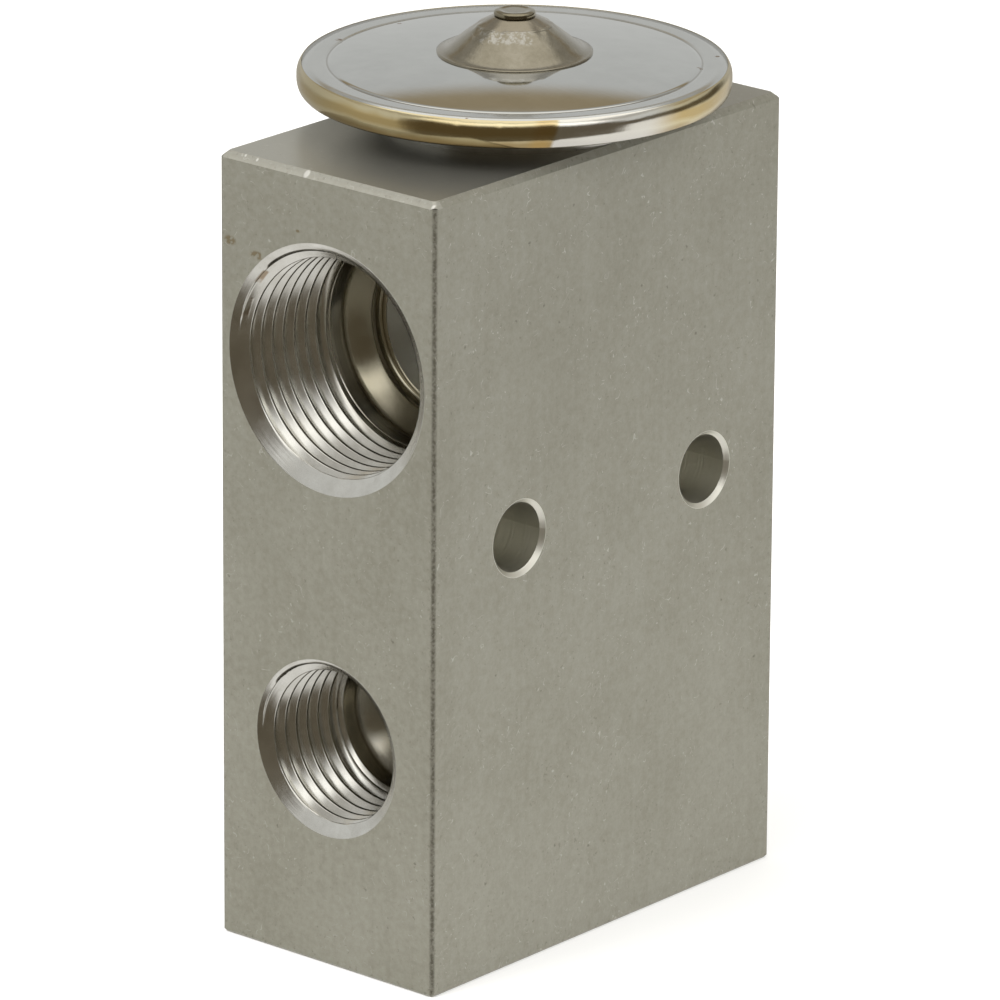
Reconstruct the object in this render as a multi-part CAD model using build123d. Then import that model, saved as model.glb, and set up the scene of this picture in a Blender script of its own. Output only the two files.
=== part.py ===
"""Block-type expansion valve for a vehicle air-conditioning circuit, in millimetres.

+Z is up and the origin is the centre of the block's bottom face.  The narrow
faces (-Y and +Y) carry the tube ports, and the wide faces (+X and -X) the bolt
holes.  The diaphragm head, rod, ball and spring share one vertical valve axis.
"""
from build123d import *
import os
from dataclasses import dataclass
from math import sqrt

os.makedirs("parts", exist_ok=True)

# ---------------------------------------------------------------- block ----
block_width = 26.0          # X
block_depth = 49.0          # Y
block_height = 76.0         # Z
top_chamfer = 0.6
corner_round = 0.5          # upright edges, rounded as the bar is extruded
edge_break = 0.25           # round the bottom face
axis_y = 1.5                # the valve axis stands a little behind the middle
overcut = 1.0               # how far a cutter runs past the face it opens

# bolt holes, right through along X
bolt_hole_r = 3.3
bolt_spacing = 26.5
bolt_mid_y = 0.65
bolt_z = 41.6
bolt_chamfer = 0.4

# clearances
thread_clearance = 0.05     # between a screwed piece and its hole, radial
running_clearance = 0.05    # between a moving piece and what guides it, radial
seal_clearance = 0.02       # between a seal ring and its groove
touch_gap = 0.02            # between pieces that touch but move apart


@dataclass
class Port:
    """A tube port: chamfered mouth, thread, seal bore, cone, tube pilot, passage."""

    z: float
    thread_r: float         # thread major radius
    mouth_chamfer: float
    thread_depth: float
    seal_r: float
    seal_depth: float
    pilot_r: float
    pilot_depth: float
    passage_r: float
    passage_rise: float     # how far the passage lies above the port's axis


suction = Port(z=57.7, thread_r=11.0, mouth_chamfer=0.85, thread_depth=11.9, seal_r=10.15,
               seal_depth=13.8, pilot_r=8.3, pilot_depth=16.8, passage_r=7.5, passage_rise=0.0)
inlet = Port(z=21.2, thread_r=8.0, mouth_chamfer=0.55, thread_depth=10.1, seal_r=6.9,
             seal_depth=12.0, pilot_r=4.85, pilot_depth=16.0, passage_r=2.8, passage_rise=-1.7)
outlet = Port(z=27.0, thread_r=9.0, mouth_chamfer=0.6, thread_depth=10.8, seal_r=8.0,
              seal_depth=12.6, pilot_r=6.4, pilot_depth=16.0, passage_r=3.2, passage_rise=2.2)

# ---------------------------------------------------- vertical valve bore ----
screw_thread_r = 6.0        # adjusting screw, thread major radius
screw_thread_depth = 5.2
chamber_r = 5.2
chamber_top = 23.8          # roof of the ball chamber
orifice_r = 1.8
seat_chamfer = 0.8          # 45 degree seat round the orifice
pin_r = 1.2
seal_pocket_r = 3.0
seal_pocket_floor = 46.6
sensing_hole_r = 5.0        # lets suction gas reach the head

# ------------------------------------------------------------------ head ----
head_rise = 5.3             # flange top above the block
rim_r = 19.6                # outer radius of both covers
sheet = 0.8                 # top cover thickness
crease_r = 17.2             # where the dome meets the flat flange
dome_height = 1.15
plug_hole_r = 1.5
diaphragm_sheet = 0.2
lower_flange = 1.3
shoulder_r = 12.3
shoulder_height = 0.9
neck_r = 10.0
neck_length = 6.0
neck_bore_r = 6.5
neck_lead = 0.8
socket_extra = 0.5          # socket runs deeper than the neck
cavity_r = 16.2
pad_floor_r = 11.5
head_seal_section = 1.2     # diameter of the ring's section
weld_bulge = 0.55
weld_height = 2.6
weld_flat = 0.15            # flat strip round the flange before the bead turns down
weld_under = 1.1            # height over which the bead's lower side turns in

# diaphragm corrugations
wave_inner_r = 10.6
wave_count = 3
wave_depth = 0.3
wave_flank = 0.3            # share of half a wave taken by each sloping side

# charge plug on top of the dome, rises measured from the lip's foot
plug_r = 7.2
plug_lip = 0.12
plug_flare = 1.1            # width of the thin lip that sweeps up into the cone
plug_flare_rise = 0.4
plug_shoulder_r = 3.45      # where the cone turns in to its flatter top
plug_shoulder_rise = 2.72
plug_shoulder_round = 0.25
plug_top_r = 1.95
plug_rise = 3.42
nub_neck_r = 1.75
nub_neck_height = 0.08
nub_r = 1.95
nub_crown_r = 1.5
nub_height = 0.52
nub_dish_r = 1.1
nub_dish = 0.08

# ----------------------------------------------------------- moving train ----
stroke = 0.6                # full opening of the valve
stroke_spare = 0.1
pad_r = 10.0
pad_plate = 1.5
pad_boss_r = 4.8
pad_boss_length = 3.2
pad_web = 0.7
pad_round = 0.35
sensing_rod_r = 3.2
sensing_rod_bottom = 51.6
pin_grip = 10.0             # how far the pin reaches up into the sensing rod
rod_chamfer = 0.4
ball_r = 2.38
carrier_r = 3.0
carrier_lip = 0.9           # ball centre above the carrier's rim
carrier_neck = 2.1          # rim to flange
carrier_flange_r = 4.2
carrier_flange = 1.2
spigot_r = 2.2
spigot_length = 2.6
spigot_chamfer = 0.4

# rod seal and the toothed ring that keeps it down
retainer_sheet = 0.35
retainer_dish = 0.35
retainer_teeth = 8
retainer_slot = 0.5
retainer_slot_length = 0.8

# damper spring: a ring with legs that rub on the chamber wall
damper_sheet = 0.25
damper_legs = 4
damper_leg_width = 1.8
damper_leg_length = 2.8

# coil spring
wire_r = 0.42
coil_r = 2.85
coil_turns = 4.5

# adjusting screw
screw_recess = 0.9
screw_thread_length = 4.0
screw_length = 8.7
screw_chamfer = 0.5
screw_groove_offset = 5.4   # groove's lower wall above the screw's end
screw_groove_width = 1.8
screw_groove_depth = 1.4
hex_across_flats = 5.0
hex_depth = 3.4

# -------------------------------------------------------- derived heights ----
face_y = block_depth / 2
flange_top = block_height + head_rise
cover_base = flange_top - sheet                       # underside of the top cover's flange
diaphragm_base = cover_base - diaphragm_sheet
lower_base = diaphragm_base - lower_flange
dome_r = (crease_r ** 2 + dome_height ** 2) / (2 * dome_height)
neck_base = block_height - neck_length
socket_floor = neck_base - socket_extra
pad_top = diaphragm_base - touch_gap
pad_base = pad_top - pad_plate
pad_floor = pad_base - stroke - stroke_spare
seat_edge = chamber_top + seat_chamfer                # where the ball meets the orifice
ball_z = seat_edge - sqrt(ball_r ** 2 - orifice_r ** 2) - touch_gap
carrier_rim = ball_z - carrier_lip
flange_z = carrier_rim - carrier_neck                 # top of the carrier's flange
spring_top = flange_z - carrier_flange
spring_base = screw_recess + screw_length
seal_section = seal_pocket_r - pin_r - running_clearance
head_groove_r = neck_r + head_seal_section + 2 * seal_clearance
head_groove_depth = head_seal_section + seal_clearance


def turned(points):
    """Solid turned about the valve axis from a closed outline of (radius, z) points."""
    outline = Polyline([(r, 0, z) for r, z in points], close=True)
    return Pos(0, axis_y, 0) * revolve(make_face(outline), Axis.Z)


def dome_z(r):
    """Height of the dome's outer face at radius r."""
    return flange_top + dome_height - dome_r + sqrt(dome_r ** 2 - r ** 2)


def port_cutter(port, side):
    """What the port removes: a stepped turned hole in from the face on that side of Y."""
    mouth_r = port.thread_r + port.mouth_chamfer
    cone_depth = port.seal_depth + port.seal_r - port.pilot_r
    outline = Polyline(
        [(0, -overcut), (mouth_r + overcut, -overcut), (port.thread_r, port.mouth_chamfer),
         (port.thread_r, port.thread_depth), (port.seal_r, port.thread_depth),
         (port.seal_r, port.seal_depth), (port.pilot_r, cone_depth),
         (port.pilot_r, port.pilot_depth), (0, port.pilot_depth)], close=True)
    hole = Pos(0, -face_y, port.z) * revolve(make_face(outline), Axis.Y)
    start = -face_y + port.pilot_depth - overcut
    end = -side * axis_y + port.passage_r             # just past the valve axis
    passage = Pos(0, start, port.z + port.passage_rise) * Cylinder(
        port.passage_r, end - start, rotation=(-90, 0, 0),
        align=(Align.CENTER, Align.CENTER, Align.MIN))
    cutter = hole + passage
    return cutter if side < 0 else Rot(0, 0, 180) * cutter


def valve_bore():
    """The stepped vertical bore, from the screw's thread up to the head's socket."""
    thread_r = screw_thread_r + thread_clearance
    socket_r = neck_r + thread_clearance
    pin_bore_r = pin_r + running_clearance
    outlet_z = outlet.z + outlet.passage_rise
    return turned(
        [(0, -overcut), (thread_r + screw_chamfer + overcut, -overcut), (thread_r, screw_chamfer),
         (thread_r, screw_thread_depth), (chamber_r, screw_thread_depth), (chamber_r, chamber_top),
         (orifice_r + seat_chamfer, chamber_top), (orifice_r, seat_edge), (orifice_r, outlet_z),
         (pin_bore_r, outlet_z), (pin_bore_r, seal_pocket_floor),
         (seal_pocket_r, seal_pocket_floor), (seal_pocket_r, suction.z),
         (sensing_hole_r, suction.z), (sensing_hole_r, socket_floor), (socket_r, socket_floor),
         (socket_r, block_height - head_groove_depth),
         (head_groove_r, block_height - head_groove_depth),
         (head_groove_r, block_height + overcut), (0, block_height + overcut)])


def valve_block():
    block = Box(block_width, block_depth, block_height, align=(Align.CENTER, Align.CENTER, Align.MIN))
    block = chamfer(block.faces().sort_by(Axis.Z)[-1].edges(), top_chamfer)
    upright = [edge for edge in block.edges() if edge.bounding_box().size.Z > top_chamfer / 2]
    block = fillet(upright, corner_round)
    block = chamfer(block.faces().sort_by(Axis.Z)[0].edges(), edge_break)
    for port, side in ((suction, -1), (suction, 1), (inlet, -1), (outlet, 1)):
        block -= port_cutter(port, side)
    half = block_width / 2
    bolt_hole = revolve(make_face(Polyline(
        [(0, 0), (0, bolt_hole_r), (half - bolt_chamfer, bolt_hole_r),
         (half + overcut, bolt_hole_r + bolt_chamfer + overcut), (half + overcut, 0)], close=True)), Axis.X)
    bolt_hole += mirror(bolt_hole, Plane.YZ)
    for step in (-0.5, 0.5):
        block -= Pos(0, bolt_mid_y + step * bolt_spacing, bolt_z) * bolt_hole
    return block - valve_bore()


def head_lower_cover():
    """Turned cup that holds the diaphragm and screws into the block by its neck."""
    return turned(
        [(neck_bore_r, neck_base), (neck_r - neck_lead, neck_base), (neck_r, neck_base + neck_lead),
         (neck_r, block_height), (shoulder_r, block_height),
         (shoulder_r, block_height + shoulder_height), (rim_r, lower_base), (rim_r, diaphragm_base),
         (cavity_r, diaphragm_base), (pad_floor_r, pad_floor), (neck_bore_r, pad_floor)])


def head_top_cover():
    """Pressed sheet: a flat flange round a shallow dome with the charging hole."""
    middle_r = (plug_hole_r + crease_r) / 2
    face = []
    for drop in (0, sheet):
        dome = ThreePointArc((plug_hole_r, 0, dome_z(plug_hole_r) - drop),
                             (middle_r, 0, dome_z(middle_r) - drop), (crease_r, 0, flange_top - drop))
        face += [dome, Line((crease_r, 0, flange_top - drop), (rim_r, 0, flange_top - drop))]
    for r, z in ((plug_hole_r, dome_z(plug_hole_r)), (rim_r, flange_top)):
        face.append(Line((r, 0, z), (r, 0, z - sheet)))
    return Pos(0, axis_y, 0) * revolve(make_face(face), Axis.Z)


def diaphragm():
    """Thin corrugated disc, clamped between the covers at its flat edge."""
    half_wave = (cavity_r - wave_inner_r) / (2 * wave_count)
    line = [(0, 0)]
    for i in range(2 * wave_count):
        left = wave_inner_r + i * half_wave
        sag = wave_depth / 2 if i % 2 else -wave_depth / 2
        line += [(left, 0), (left + wave_flank * half_wave, sag),
                 (left + (1 - wave_flank) * half_wave, sag)]
    line += [(cavity_r, 0), (rim_r, 0)]
    return turned([(r, diaphragm_base + rise) for r, rise in line]
                  + [(r, cover_base + rise) for r, rise in reversed(line)])


def charge_plug():
    """Bell-shaped plug on the dome with a crimped nub, its stem filling the charging hole."""
    def at(r, rise):
        return Vector(r, 0, dome_z(plug_r) + rise)

    flare_end = at(plug_r - plug_flare, plug_lip + plug_flare_rise)
    shoulder = at(plug_shoulder_r, plug_shoulder_rise)
    top = at(plug_top_r, plug_rise)
    up = (shoulder - flare_end).normalized()
    inward = (top - shoulder).normalized()
    round_start = shoulder - up * plug_shoulder_round
    round_end = shoulder + inward * plug_shoulder_round
    nub_rise = plug_rise + nub_neck_height
    crown_rise = nub_rise + nub_height
    stem_z = cover_base + dome_height
    middle_r = (plug_hole_r + plug_r) / 2
    outline = [
        Line(at(plug_r, 0), at(plug_r, plug_lip)),
        TangentArc(at(plug_r, plug_lip), flare_end, tangent=(-1, 0, 0)),
        Line(flare_end, round_start),
        TangentArc(round_start, round_end, tangent=up),
        Polyline([round_end, top, at(nub_neck_r, plug_rise), at(nub_neck_r, nub_rise),
                  at(nub_r, nub_rise), at(nub_r, crown_rise - nub_r + nub_crown_r)]),
        TangentArc(at(nub_r, crown_rise - nub_r + nub_crown_r), at(nub_crown_r, crown_rise),
                   tangent=(0, 0, 1)),
        Polyline([at(nub_crown_r, crown_rise), at(nub_dish_r, crown_rise - nub_dish),
                  at(0, crown_rise - nub_dish), (0, 0, stem_z), (plug_hole_r, 0, stem_z),
                  (plug_hole_r, 0, dome_z(plug_hole_r))]),
        ThreePointArc((plug_hole_r, 0, dome_z(plug_hole_r)), (middle_r, 0, dome_z(middle_r)), at(plug_r, 0)),
    ]
    return Pos(0, axis_y, 0) * revolve(make_face(outline), Axis.Z)


def rim_weld():
    """Weld bead that closes the covers' edges all the way round."""
    base = flange_top - weld_height
    flat_r = rim_r + weld_flat
    outer_r = rim_r + weld_bulge
    upper = flange_top - (outer_r - flat_r)
    lower = base + weld_under
    bead = [Polyline([(rim_r, 0, base), (rim_r, 0, flange_top), (flat_r, 0, flange_top)]),
            TangentArc((flat_r, 0, flange_top), (outer_r, 0, upper), tangent=(1, 0, 0)),
            Line((outer_r, 0, upper), (outer_r, 0, lower)),
            TangentArc((outer_r, 0, lower), (rim_r, 0, base), tangent=(0, 0, -1))]
    return Pos(0, axis_y, 0) * revolve(make_face(bead), Axis.Z)


def diaphragm_pad():
    """Round plate under the diaphragm, with a boss that holds the sensing rod."""
    return turned(
        [(0, pad_top), (pad_r - pad_round, pad_top), (pad_r, pad_top - pad_round), (pad_r, pad_base),
         (pad_boss_r, pad_base), (pad_boss_r, pad_base - pad_boss_length),
         (sensing_rod_r, pad_base - pad_boss_length), (sensing_rod_r, pad_top - pad_web),
         (0, pad_top - pad_web)])


def sensing_rod():
    top = pad_top - pad_web
    grip_top = sensing_rod_bottom + pin_grip
    return turned(
        [(0, top), (sensing_rod_r - rod_chamfer, top), (sensing_rod_r, top - rod_chamfer),
         (sensing_rod_r, sensing_rod_bottom + rod_chamfer),
         (sensing_rod_r - rod_chamfer, sensing_rod_bottom), (pin_r, sensing_rod_bottom),
         (pin_r, grip_top), (0, grip_top)])


def push_pin():
    base = ball_z + ball_r + touch_gap
    return Pos(0, axis_y, base) * Cylinder(
        pin_r, sensing_rod_bottom + pin_grip - base, align=(Align.CENTER, Align.CENTER, Align.MIN))


def seal_ring(centre_r, section_r, z):
    return Pos(0, axis_y, z) * Torus(centre_r, section_r)


def rod_seal_retainer():
    """Dished ring over the rod seal, slotted into teeth that bite the pocket wall."""
    base = seal_pocket_floor + seal_section + seal_clearance
    hole_r = pin_r + 4 * running_clearance
    ring = turned([(hole_r, base), (seal_pocket_r, base + retainer_dish),
                   (seal_pocket_r, base + retainer_dish + retainer_sheet),
                   (hole_r, base + retainer_sheet)])
    slot = Pos(seal_pocket_r - retainer_slot_length / 2, 0, 0) * Box(
        retainer_slot_length, retainer_slot, 4 * (retainer_sheet + retainer_dish))
    return ring - [Pos(0, axis_y, base) * spot * slot for spot in PolarLocations(0, retainer_teeth)]


def ball_carrier():
    """Cup under the ball, with a flange and spigot for the coil spring."""
    cone_low = ball_z - sqrt(2) * ball_r              # point of the 45 degree cup
    rim_inner = carrier_rim - cone_low
    base = spring_top - spigot_length
    return turned(
        [(0, cone_low), (rim_inner, carrier_rim), (carrier_r, carrier_rim), (carrier_r, flange_z),
         (carrier_flange_r, flange_z), (carrier_flange_r, spring_top), (spigot_r, spring_top),
         (spigot_r, base + spigot_chamfer), (spigot_r - spigot_chamfer, base), (0, base)])


def damper_spring():
    """Spring ring on the carrier's flange, with legs that rub on the chamber wall."""
    outer_r = chamber_r - running_clearance
    ring = turned([(carrier_r, flange_z), (carrier_flange_r, flange_z),
                   (carrier_flange_r, flange_z + damper_sheet), (carrier_r, flange_z + damper_sheet)])
    shell = turned([(carrier_flange_r - damper_sheet, flange_z), (outer_r, flange_z),
                    (outer_r, flange_z + damper_sheet), (carrier_flange_r - damper_sheet, flange_z + damper_sheet)])
    skirt = turned([(outer_r - damper_sheet, flange_z - damper_leg_length), (outer_r, flange_z - damper_leg_length),
                    (outer_r, flange_z), (outer_r - damper_sheet, flange_z)])
    strip = Pos(chamber_r / 2, 0, flange_z) * Box(chamber_r, damper_leg_width, 3 * damper_leg_length)
    legs = [Pos(0, axis_y, 0) * spot * strip for spot in PolarLocations(0, damper_legs)]
    return ring + ((shell + skirt) & (Part() + legs))


def valve_spring():
    height = spring_top - spring_base - 2 * wire_r
    path = Helix(pitch=height / coil_turns, height=height, radius=coil_r)
    wire = sweep(Plane(origin=path @ 0, z_dir=path % 0) * Circle(wire_r), path=path, is_frenet=True)
    return Pos(0, axis_y, spring_base + wire_r) * wire


def adjusting_screw():
    """Socket-headed screw under the spring, with a seal groove above its thread."""
    top = screw_recess + screw_length
    upper_r = chamber_r - running_clearance
    groove_z = screw_recess + screw_groove_offset
    groove_r = upper_r - screw_groove_depth
    thread_top = screw_recess + screw_thread_length
    body = turned(
        [(0, screw_recess), (screw_thread_r - screw_chamfer, screw_recess),
         (screw_thread_r, screw_recess + screw_chamfer), (screw_thread_r, thread_top),
         (upper_r, thread_top), (upper_r, groove_z), (groove_r, groove_z),
         (groove_r, groove_z + screw_groove_width), (upper_r, groove_z + screw_groove_width),
         (upper_r, top), (0, top)])
    socket = Pos(0, axis_y, screw_recess) * extrude(
        RegularPolygon(hex_across_flats / sqrt(3), 6), hex_depth)
    spigot = Pos(0, axis_y, top) * Cylinder(
        spigot_r, spigot_length / 2, align=(Align.CENTER, Align.CENTER, Align.MIN))
    return body - socket + spigot


def screw_seal():
    """Ring in the screw's groove, squeezed to the chamber wall."""
    outer_r = chamber_r - running_clearance
    groove_r = outer_r - screw_groove_depth
    section_r = (outer_r - groove_r) / 2 - seal_clearance
    z = screw_recess + screw_groove_offset + screw_groove_width / 2
    return seal_ring((outer_r + groove_r) / 2, section_r, z)


pieces = {
    "valve_block": valve_block(),
    "head_lower_cover": head_lower_cover(),
    "head_top_cover": head_top_cover(),
    "diaphragm": diaphragm(),
    "charge_plug": charge_plug(),
    "rim_weld": rim_weld(),
    "diaphragm_pad": diaphragm_pad(),
    "sensing_rod": sensing_rod(),
    "push_pin": push_pin(),
    "head_seal": seal_ring(neck_r + head_seal_section / 2 + seal_clearance, head_seal_section / 2,
                           block_height - head_seal_section / 2),
    "rod_seal": seal_ring(seal_pocket_r - seal_section / 2 - seal_clearance,
                          seal_section / 2 - seal_clearance, seal_pocket_floor + seal_section / 2),
    "rod_seal_retainer": rod_seal_retainer(),
    "valve_ball": Pos(0, axis_y, ball_z) * Sphere(ball_r),
    "ball_carrier": ball_carrier(),
    "damper_spring": damper_spring(),
    "valve_spring": valve_spring(),
    "adjusting_screw": adjusting_screw(),
    "screw_seal": screw_seal(),
}

for name, piece in pieces.items():
    export_step(piece, f"parts/{name}.step")
    print(f"{name}: {piece.volume:.1f} mm3")
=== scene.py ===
# Block-type thermal expansion valve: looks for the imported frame. Code works in metres; a dictionary whose
# comment says millimetres holds values that are multiplied by mm where they are used.
import math
from functools import reduce

import bpy
import numpy as np
from mathutils import Matrix, Vector


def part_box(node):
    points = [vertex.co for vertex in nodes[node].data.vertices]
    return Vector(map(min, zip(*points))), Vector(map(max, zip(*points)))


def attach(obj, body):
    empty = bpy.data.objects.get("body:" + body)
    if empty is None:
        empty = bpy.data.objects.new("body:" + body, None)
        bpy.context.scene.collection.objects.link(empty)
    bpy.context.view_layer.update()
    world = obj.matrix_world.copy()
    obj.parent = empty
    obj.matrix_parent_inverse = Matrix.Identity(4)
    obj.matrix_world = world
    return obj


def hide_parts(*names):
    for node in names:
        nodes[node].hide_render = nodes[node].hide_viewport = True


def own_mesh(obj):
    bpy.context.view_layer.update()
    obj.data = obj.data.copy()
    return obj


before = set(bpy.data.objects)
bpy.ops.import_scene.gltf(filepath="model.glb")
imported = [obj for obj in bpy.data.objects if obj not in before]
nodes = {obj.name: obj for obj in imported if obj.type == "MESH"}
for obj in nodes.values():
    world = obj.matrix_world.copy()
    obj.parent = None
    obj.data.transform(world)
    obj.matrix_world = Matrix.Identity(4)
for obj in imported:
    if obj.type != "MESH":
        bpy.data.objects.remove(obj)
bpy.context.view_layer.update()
mm = 0.001
tau = 2 * math.pi
valveBody = "valve_body"

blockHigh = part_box("valve_block")[1]
weldLow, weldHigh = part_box("rim_weld")
faceY = blockHigh.y                      # half the block's depth
blockTop = blockHigh.z
axisY = (weldLow.y + weldHigh.y) / 2     # the valve axis, at x 0
flangeTop = weldHigh.z
print("frame loaded:", len(nodes), "nodes")


# meshes from grids of points
def sewGrid(name, points, loop=False):
    # A grid of points, rows by columns, becomes quads between neighbours. Rows close up if loop is set.
    # Points that coincide are merged, so a seam closes and a collapsed row leaves triangles or nothing.
    rows, columns = points.shape[:2]
    index = np.arange(rows * columns).reshape(rows, columns)
    if loop:
        index = np.vstack([index, index[:1]])
    quads = np.stack([index[:-1, :-1], index[:-1, 1:], index[1:, 1:], index[1:, :-1]], -1).reshape(-1, 4)
    flat = points.reshape(-1, 3)
    keys = np.round(flat / 1e-8).astype(np.int64)
    first, same = np.unique(keys, axis=0, return_index=True, return_inverse=True)[1:]
    quads = same.reshape(-1)[quads]
    repeated = quads == np.roll(quads, -1, axis=1)
    full = quads[repeated.sum(1) == 0]
    cut = quads[repeated.sum(1) == 1]
    corner = np.argmax(cut == np.roll(cut, -1, axis=1), axis=1)
    keep = (corner[:, None] + np.array([1, 2, 3])) % 4
    thin = np.take_along_axis(cut, keep, axis=1)
    return meshFrom(name, flat[first], full, thin)


def meshFrom(name, vertices, quads, triangles):
    # Fills a mesh from whole arrays and shades it smooth.
    mesh = bpy.data.meshes.new(name)
    corners = np.concatenate([quads.reshape(-1), triangles.reshape(-1)]).astype(np.int32)
    starts = np.concatenate([np.arange(len(quads)) * 4, len(quads) * 4 + np.arange(len(triangles)) * 3])
    mesh.vertices.add(len(vertices))
    mesh.vertices.foreach_set("co", vertices.astype(np.float32).reshape(-1))
    mesh.loops.add(len(corners))
    mesh.loops.foreach_set("vertex_index", corners)
    mesh.polygons.add(len(starts))
    mesh.polygons.foreach_set("loop_start", starts.astype(np.int32))
    mesh.update(calc_edges=True)
    mesh.validate()
    mesh.shade_smooth()
    piece = bpy.data.objects.new(name, mesh)
    bpy.context.scene.collection.objects.link(piece)
    return piece


def turnGrid(radii, heights, columns, centre):
    # Point = centre + (radius cos t, radius sin t, height): a profile turned about the vertical axis.
    # Radii and heights are rows by columns, or one value a row.
    t = np.linspace(0, tau, columns + 1)
    t[-1] = 0
    radii = np.broadcast_to(radii.reshape(len(radii), -1), (len(radii), columns + 1))
    heights = np.broadcast_to(heights.reshape(len(heights), -1), (len(heights), columns + 1))
    spots = np.stack([radii * np.cos(t), radii * np.sin(t), heights], -1)
    return spots + np.array(centre)


def softCorners(points, rounding, steps=4):
    # Each inner corner of the outline becomes a quadratic arc that starts and ends a rounding away from it.
    # The rounding is one value, or one a corner.
    points = np.asarray(points, float)
    path = [points[:1]]
    s = np.linspace(0, 1, steps + 1)[:, None]
    roundings = np.broadcast_to(rounding, len(points) - 2)
    for before, corner, after, wanted in zip(points[:-2], points[1:-1], points[2:], roundings):
        inward, outward = before - corner, after - corner
        reach = min(wanted, 0.45 * np.linalg.norm(inward), 0.45 * np.linalg.norm(outward))
        start = corner + inward / np.linalg.norm(inward) * reach
        end = corner + outward / np.linalg.norm(outward) * reach
        path.append((1 - s) ** 2 * start + 2 * s * (1 - s) * corner + s ** 2 * end)
    path.append(points[-1:])
    return np.vstack(path)


def fillStretches(outline, longest):
    # Points are added on long straight stretches so that no step is longer than the given length.
    path = [outline[:1]]
    for start, end in zip(outline[:-1], outline[1:]):
        count = max(1, int(math.ceil(np.linalg.norm(end - start) / longest)))
        path.append(start + (end - start) * (np.arange(1, count + 1) / count)[:, None])
    return np.vstack(path)


# shader maths written as expressions
class Wire:
    # A shader value. Arithmetic on it adds Math nodes; node() adds any other kind.
    def __init__(self, tree, socket=None):
        self.tree = tree
        self.socket = socket

    def node(self, kind, settings, sockets, out=0):
        made = self.tree.nodes.new(kind)
        for key, value in settings.items():
            if key == "stops":
                self.setStops(made.color_ramp, value)
            else:
                setattr(made, key, value)
        for key, value in sockets.items():
            if isinstance(value, Wire):
                self.tree.links.new(value.socket, made.inputs[key])
            else:
                made.inputs[key].default_value = value
        return Wire(self.tree, made.outputs[out])

    def setStops(self, ramp, stops):
        while len(ramp.elements) < len(stops):
            ramp.elements.new(1.0)
        for element, (place, colour) in zip(ramp.elements, stops):
            element.position = place
            element.color = (*colour, 1)

    def maths(self, operation, *values):
        return self.node("ShaderNodeMath", {"operation": operation}, dict(enumerate(values)))

    def __add__(self, other):
        return self.maths("ADD", self, other)

    def __radd__(self, other):
        return self.maths("ADD", other, self)

    def __sub__(self, other):
        return self.maths("SUBTRACT", self, other)

    def __rsub__(self, other):
        return self.maths("SUBTRACT", other, self)

    def __mul__(self, other):
        return self.maths("MULTIPLY", self, other)

    def __rmul__(self, other):
        return self.maths("MULTIPLY", other, self)

    def __truediv__(self, other):
        return self.maths("DIVIDE", self, other)

    def __pow__(self, other):
        return self.maths("POWER", self, other)

    def root(self):
        return self.maths("SQRT", self)

    def least(self, other):
        return self.maths("MINIMUM", self, other)

    def most(self, other):
        return self.maths("MAXIMUM", self, other)

    def within(self, low, high, ease):
        # 1 between low and high, easing to 0 outside.
        return self.ramp(low - ease, low + ease) * self.ramp(high - ease, high + ease, 1.0, 0.0)

    def ramp(self, low, high, bottom=0.0, top=1.0):
        # Smooth step from bottom at low to top at high.
        return self.node("ShaderNodeMapRange", {"interpolation_type": "SMOOTHSTEP"},
                         {"Value": self, "From Min": low, "From Max": high, "To Min": bottom, "To Max": top})

    def rise(self, span, top=1.0):
        # 0 to top over a span in millimetres.
        return self.ramp(span[0] * mm, span[1] * mm, 0.0, top)

    def fall(self, span):
        # 1 to 0 over a span in millimetres.
        return self.ramp(span[0] * mm, span[1] * mm, 1.0, 0.0)

    def stretched(self, scale, shift=(0, 0, 0)):
        return self.node("ShaderNodeMapping", {}, {"Vector": self, "Scale": scale, "Location": shift})

    def noise(self, scale, detail=2.0, roughness=0.5):
        return self.node("ShaderNodeTexNoise", {}, {"Vector": self, "Scale": scale, "Detail": detail,
                                                   "Roughness": roughness})

    def patches(self, scale, detail, low, high, *ends):
        # A noise cut off softly between two levels.
        return self.noise(scale, detail).ramp(low, high, *ends)

    def spots(self, scale):
        return self.node("ShaderNodeTexVoronoi", {"feature": "F1"}, {"Vector": self, "Scale": scale},
                         "Distance")

    def shaken(self, scale, reach):
        # The place pushed about by a coloured noise, so that round spots turn ragged.
        push = self.node("ShaderNodeTexNoise", {}, {"Vector": self, "Scale": scale, "Detail": 2.0}, "Color")
        push = push.node("ShaderNodeVectorMath", {"operation": "SCALE"}, {0: push, "Scale": reach})
        return self.node("ShaderNodeVectorMath", {"operation": "ADD"}, {0: self, 1: push})

    def parts(self):
        split = self.node("ShaderNodeSeparateXYZ", {}, {"Vector": self})
        outputs = split.socket.node.outputs
        return [Wire(self.tree, outputs[axis]) for axis in "XYZ"]

    def blend(self, below, above):
        # Colour mix: below where this value is 0, above where it is 1.
        return self.node("ShaderNodeMix", {"data_type": "RGBA"},
                         {"Factor": self, 6: tint(below), 7: tint(above)}, 2)

    def tinted(self, stops):
        return self.node("ShaderNodeValToRGB", {"stops": stops}, {"Fac": self}, "Color")

    def bump(self, strength, distance):
        return self.node("ShaderNodeBump", {}, {"Height": self, "Strength": strength, "Distance": distance})


def tint(colour):
    return colour if isinstance(colour, Wire) else (*colour, 1)


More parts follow.
